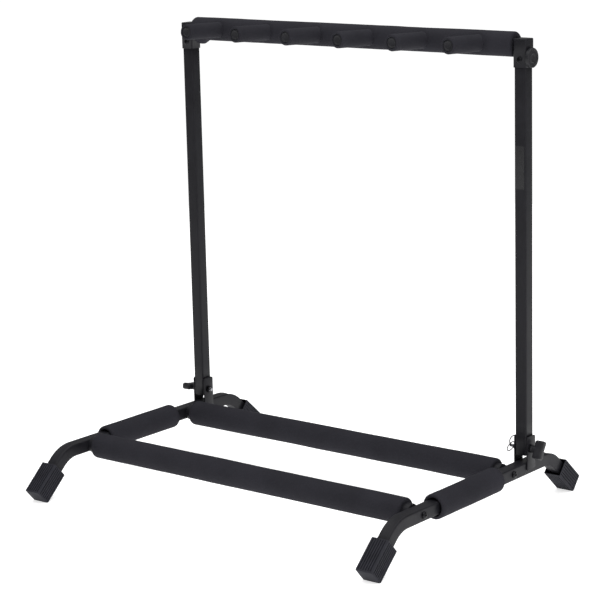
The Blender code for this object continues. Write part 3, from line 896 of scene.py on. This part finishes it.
class RACK_OT_clamps(bpy.types.Operator):
    """Pivot studs, nuts, washers and the T-shaped clamp knobs"""
    bl_idname = "rack.clamps"
    bl_label = "Clamps"

    def execute(self, context):
        zinc = zinc_plate(context)
        dark = blackened_steel(context)
        repaint(["left_pivot_stud", "right_pivot_stud"], zinc)
        for side_name, side in SIDES:
            self.washer(side_name + "_clamp_washer", side, dark)
            self.nut(side_name + "_pivot_nut", side, dark)
        self.knob(context, "left", -1, LEFT_KNOB_TURN)
        self.knob(context, "right", 1, RIGHT_KNOB_TURN)
        return {"FINISHED"}

    def washer(self, name, side, mat):
        low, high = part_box(name)
        size = high - low
        bm = bmesh.new()
        soft = 0.00025
        r = size.z / 2
        turn(bm, [(0.0032, 0), (r - soft, 0), (r, soft), (r, size.x - soft), (r - soft, size.x),
                  (0.0032, size.x)], 40, closed=True)
        start = low.x if side > 0 else high.x
        bmesh.ops.transform(bm, matrix=axis_frame((start, PIVOT.y, PIVOT.z), (side, 0, 0)), verts=bm.verts)
        publish(bm, name + "_ring", "base", mat, [name], 30)

    def nut(self, name, side, mat):
        low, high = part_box(name)
        h = high.x - low.x
        flats = 0.0098
        rim = flats / 2 * 1.06
        bore = 0.0029
        face = flats / 2 * 0.93
        bm = bmesh.new()
        verts = turn(bm, [(bore, 0), (face, 0), (rim, h * 0.12), (rim, h * 0.88), (face, h), (bore, h)], 48,
                     closed=True)
        hexed(verts, rim, flats)
        start = high.x if side > 0 else low.x
        bmesh.ops.transform(bm, matrix=axis_frame((start, PIVOT.y, PIVOT.z), (-side, 0, 0)), verts=bm.verts)
        publish(bm, name + "_hex", "base", mat, [name], 30)

    def knob(self, context, side_name, side, angle):
        """A round hub that grows into a T bar with softened, slightly waisted grips."""
        name = side_name + "_clamp_knob"
        low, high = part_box(name)
        inner = low.x if side > 0 else -high.x
        outer = high.x if side > 0 else -low.x
        bar = 0.0145
        hub = outer - bar - inner
        size = Vector((bar, 0.0105, 0.0275))
        bm = bmesh.new()
        rounded_block(bm, size, 0.0030, 6, (hub + bar / 2, 0, 0))
        for z in (-0.0085, -0.005, 0, 0.005, 0.0085):
            split(bm, (0, 0, z), (0, 0, 1))
        droop = 0.0008
        for v in bm.verts:
            v.co.y *= 1 - 0.10 * math.exp(-(v.co.z / 0.006) ** 2)
            v.co.x += droop * (2 * abs(v.co.z) / size.z) ** 2 * (v.co.x - hub) / bar - droop
        hub_r = 0.00625
        bore = 0.0033
        neck_r = hub_r - 0.0009
        root = hub + 0.0030
        collar = turn(bm, [(bore, 0), (hub_r - 0.0006, 0), (hub_r, 0.0006), (hub_r, 0.0014),
                           (neck_r, 0.0022), (neck_r, root), (bore, root)], 40, closed=True)
        bmesh.ops.transform(bm, matrix=axis_frame((0, 0, 0), (1, 0, 0)), verts=collar)
        bmesh.ops.rotate(bm, cent=(0, 0, 0), matrix=Matrix.Rotation(angle, 3, "X"), verts=bm.verts)
        bmesh.ops.translate(bm, vec=(inner, PIVOT.y, PIVOT.z), verts=bm.verts)
        if side < 0:
            bmesh.ops.scale(bm, vec=(-1, 1, 1), verts=bm.verts)
        publish(bm, name + "_grip", side_name + "_knob", moulded_plastic(context), [name],
                35)


class RACK_OT_yoke_knob(bpy.types.Operator):
    """The knurled round knob that locks the yoke to the right post"""
    bl_idname = "rack.yoke_knob"
    bl_label = "Yoke knob"

    def execute(self, context):
        repaint(["yoke_knob_stud"], zinc_plate(context))
        low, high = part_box("yoke_knob")
        centre = (low + high) / 2
        r = (high.z - low.z) / 2
        t = high.x - low.x
        knurls = context.scene.rack_hardware.knurls
        steps = knurls * 4
        lip = 0.0009
        profile = [(0, t - 0.0012), (r * 0.30, t - 0.0012), (r * 0.36, t - 0.0004), (r * 0.44, t - 0.0002),
                   (r * 0.52, t - 0.0010), (r * 0.74, t - 0.0010), (r * 0.80, t), (r - lip, t), (r, t - lip),
                   (r, lip), (r - lip, 0), (0.0034, 0), (0.0034, 0.0022), (0, 0.0022)]
        bm = bmesh.new()
        for v in turn(bm, profile, steps):
            d = math.hypot(v.co.x, v.co.y)
            if d > r - 0.0002:
                a = math.atan2(v.co.y, v.co.x) * knurls
                twist = 5.0 * (v.co.z / t - 0.5)
                k = 1 - 0.030 * (0.5 + 0.5 * math.cos(a + twist))
                v.co.x *= k
                v.co.y *= k
        bmesh.ops.transform(bm, matrix=axis_frame((low.x, centre.y, centre.z), (1, 0, 0)), verts=bm.verts)
        publish(bm, "yoke_knob_disc", "yoke_knob_body", moulded_plastic(context),
                ["yoke_knob"], 30)
        return {"FINISHED"}


class RACK_OT_keeper_rings(bpy.types.Operator):
    """The two wire rings at the inner end of the right pivot stud"""
    bl_idname = "rack.keeper_rings"
    bl_label = "Keeper rings"

    def execute(self, context):
        for name, body, radius, hole, normal, out in RINGS:
            out = Vector(out).normalized()
            normal = Vector(normal)
            normal = (normal - normal.dot(out) * out).normalized()
            centre = Vector((hole, PIVOT.y, PIVOT.z)) + out * radius
            bm = bmesh.new()
            place = axis_frame(centre + out * radius, normal.cross(out))
            made = bmesh.ops.create_circle(bm, segments=14, radius=RING_WIRE_R, matrix=place)["verts"]
            edges = list({e for v in made for e in v.link_edges})
            bmesh.ops.spin(bm, geom=list(made) + edges, cent=centre, axis=normal, angle=math.tau, steps=96,
                           use_merge=True, use_duplicate=False)
            publish(bm, name + "_wire", body, ring_wire(context), [name], 60)
        return {"FINISHED"}


class RACK_OT_stage(bpy.types.Operator):
    """Floor, soft studio light and camera"""
    bl_idname = "rack.stage"
    bl_label = "Stage"

    def execute(self, context):
        look = context.scene.rack_stage
        self.floor(look)
        self.sky(context, look)
        self.panel("overhead_light", (0.2, -0.3, 3.2), (0, 0, 0.3), 5.0, look.key)
        self.panel("right_light", (2.6, -0.6, 1.3), (0.1, 0, 0.35), 1.8, look.side)
        self.camera(context)
        context.scene.view_settings.view_transform = "Standard"
        return {"FINISHED"}

    def floor(self, look):
        bm = bmesh.new()
        bmesh.ops.create_circle(bm, cap_ends=True, segments=96, radius=2.6)
        mesh = bpy.data.meshes.new("floor")
        bm.to_mesh(mesh)
        bm.free()
        mat = bpy.data.materials.new("floor_paper")
        mat.use_nodes = True
        shader = mat.node_tree.nodes["Principled BSDF"]
        shader.inputs["Base Color"].default_value = (*look.floor, 1)
        shader.inputs["Roughness"].default_value = 0.9
        shader.inputs["Specular IOR Level"].default_value = 0.1
        shader.inputs["Emission Color"].default_value = (1, 1, 1, 1)
        shader.inputs["Emission Strength"].default_value = look.glow
        mesh.materials.append(mat)
        floor = bpy.data.objects.new("floor", mesh)
        floor.location.z = -0.0002
        bpy.context.scene.collection.objects.link(floor)

    def sky(self, context, look):
        world = bpy.data.worlds.new("studio")
        world.use_nodes = True
        context.scene.world = world
        tree = world.node_tree
        seen = tree.nodes.new("ShaderNodeLightPath").outputs["Is Camera Ray"]
        back = tree.nodes["Background"]
        back.inputs["Color"].default_value = (1, 1, 1, 1)
        tree.links.new(spread(tree, seen, look.sky, 1.05), back.inputs["Strength"])

    def panel(self, name, place, target, size, power):
        """A square area light at place, facing target."""
        light = bpy.data.lights.new(name, "AREA")
        light.energy = power
        light.size = size
        obj = bpy.data.objects.new(name, light)
        obj.location = place
        obj.rotation_mode = "QUATERNION"
        obj.rotation_quaternion = (Vector(target) - Vector(place)).to_track_quat("-Z", "Y")
        bpy.context.scene.collection.objects.link(obj)

    def camera(self, context):
        data = bpy.data.cameras.new("view")
        data.sensor_width = 36.0
        data.lens = 126.87
        data.shift_x = -0.0667
        data.shift_y = -0.0333
        data.clip_start = 0.05
        data.clip_end = 200
        camera = bpy.data.objects.new("view", data)
        right = Vector((0.79306, 0.60883, -0.01969))
        up = Vector((-0.10913, 0.17381, 0.97871))
        back = right.cross(up)
        turn_to = Matrix((right, up, back)).transposed().to_4x4()
        camera.matrix_world = Matrix.Translation((1.9214, -2.3810, 0.9688)) @ turn_to
        context.scene.collection.objects.link(camera)
        context.scene.camera = camera


class RACK_PT_panel(bpy.types.Panel):
    """Sizes, colours and buttons of the guitar rack"""
    bl_idname = "RACK_PT_panel"
    bl_label = "Guitar rack"
    bl_space_type = "VIEW_3D"
    bl_region_type = "UI"
    bl_category = "Rack"

    def draw(self, context):
        for group in SETTINGS:
            box = self.layout.box()
            values = getattr(context.scene, group)
            for key in values.bl_rna.properties.keys():
                if key not in ("rna_type", "name"):
                    box.prop(values, key)
        for operator in OPERATORS:
            self.layout.operator(operator.bl_idname)


SETTINGS = {"rack_foam": FoamSettings, "rack_steel": SteelSettings, "rack_foot": FootSettings,
            "rack_hardware": HardwareSettings, "rack_stage": StageSettings}
OPERATORS = (RACK_OT_legs, RACK_OT_feet, RACK_OT_cheeks, RACK_OT_posts, RACK_OT_bottom_rails,
             RACK_OT_side_foam, RACK_OT_yoke, RACK_OT_prongs, RACK_OT_clamps, RACK_OT_yoke_knob,
             RACK_OT_keeper_rings, RACK_OT_stage)


def register():
    for group in SETTINGS.values():
        bpy.utils.register_class(group)
    for cls in (*OPERATORS, RACK_PT_panel):
        bpy.utils.register_class(cls)
    for name, group in SETTINGS.items():
        setattr(bpy.types.Scene, name, PointerProperty(type=group))


def unregister():
    for name in SETTINGS:
        delattr(bpy.types.Scene, name)
    for cls in (RACK_PT_panel, *reversed(OPERATORS), *SETTINGS.values()):
        bpy.utils.unregister_class(cls)


def main():
    register()
    bpy.ops.rack.legs()
    bpy.ops.rack.feet()
    bpy.ops.rack.cheeks()
    bpy.ops.rack.posts()
    bpy.ops.rack.bottom_rails()
    bpy.ops.rack.side_foam()
    bpy.ops.rack.yoke()
    bpy.ops.rack.prongs()
    bpy.ops.rack.clamps()
    bpy.ops.rack.yoke_knob()
    bpy.ops.rack.keeper_rings()
    bpy.ops.rack.stage()


if __name__ == "__main__":
    main()
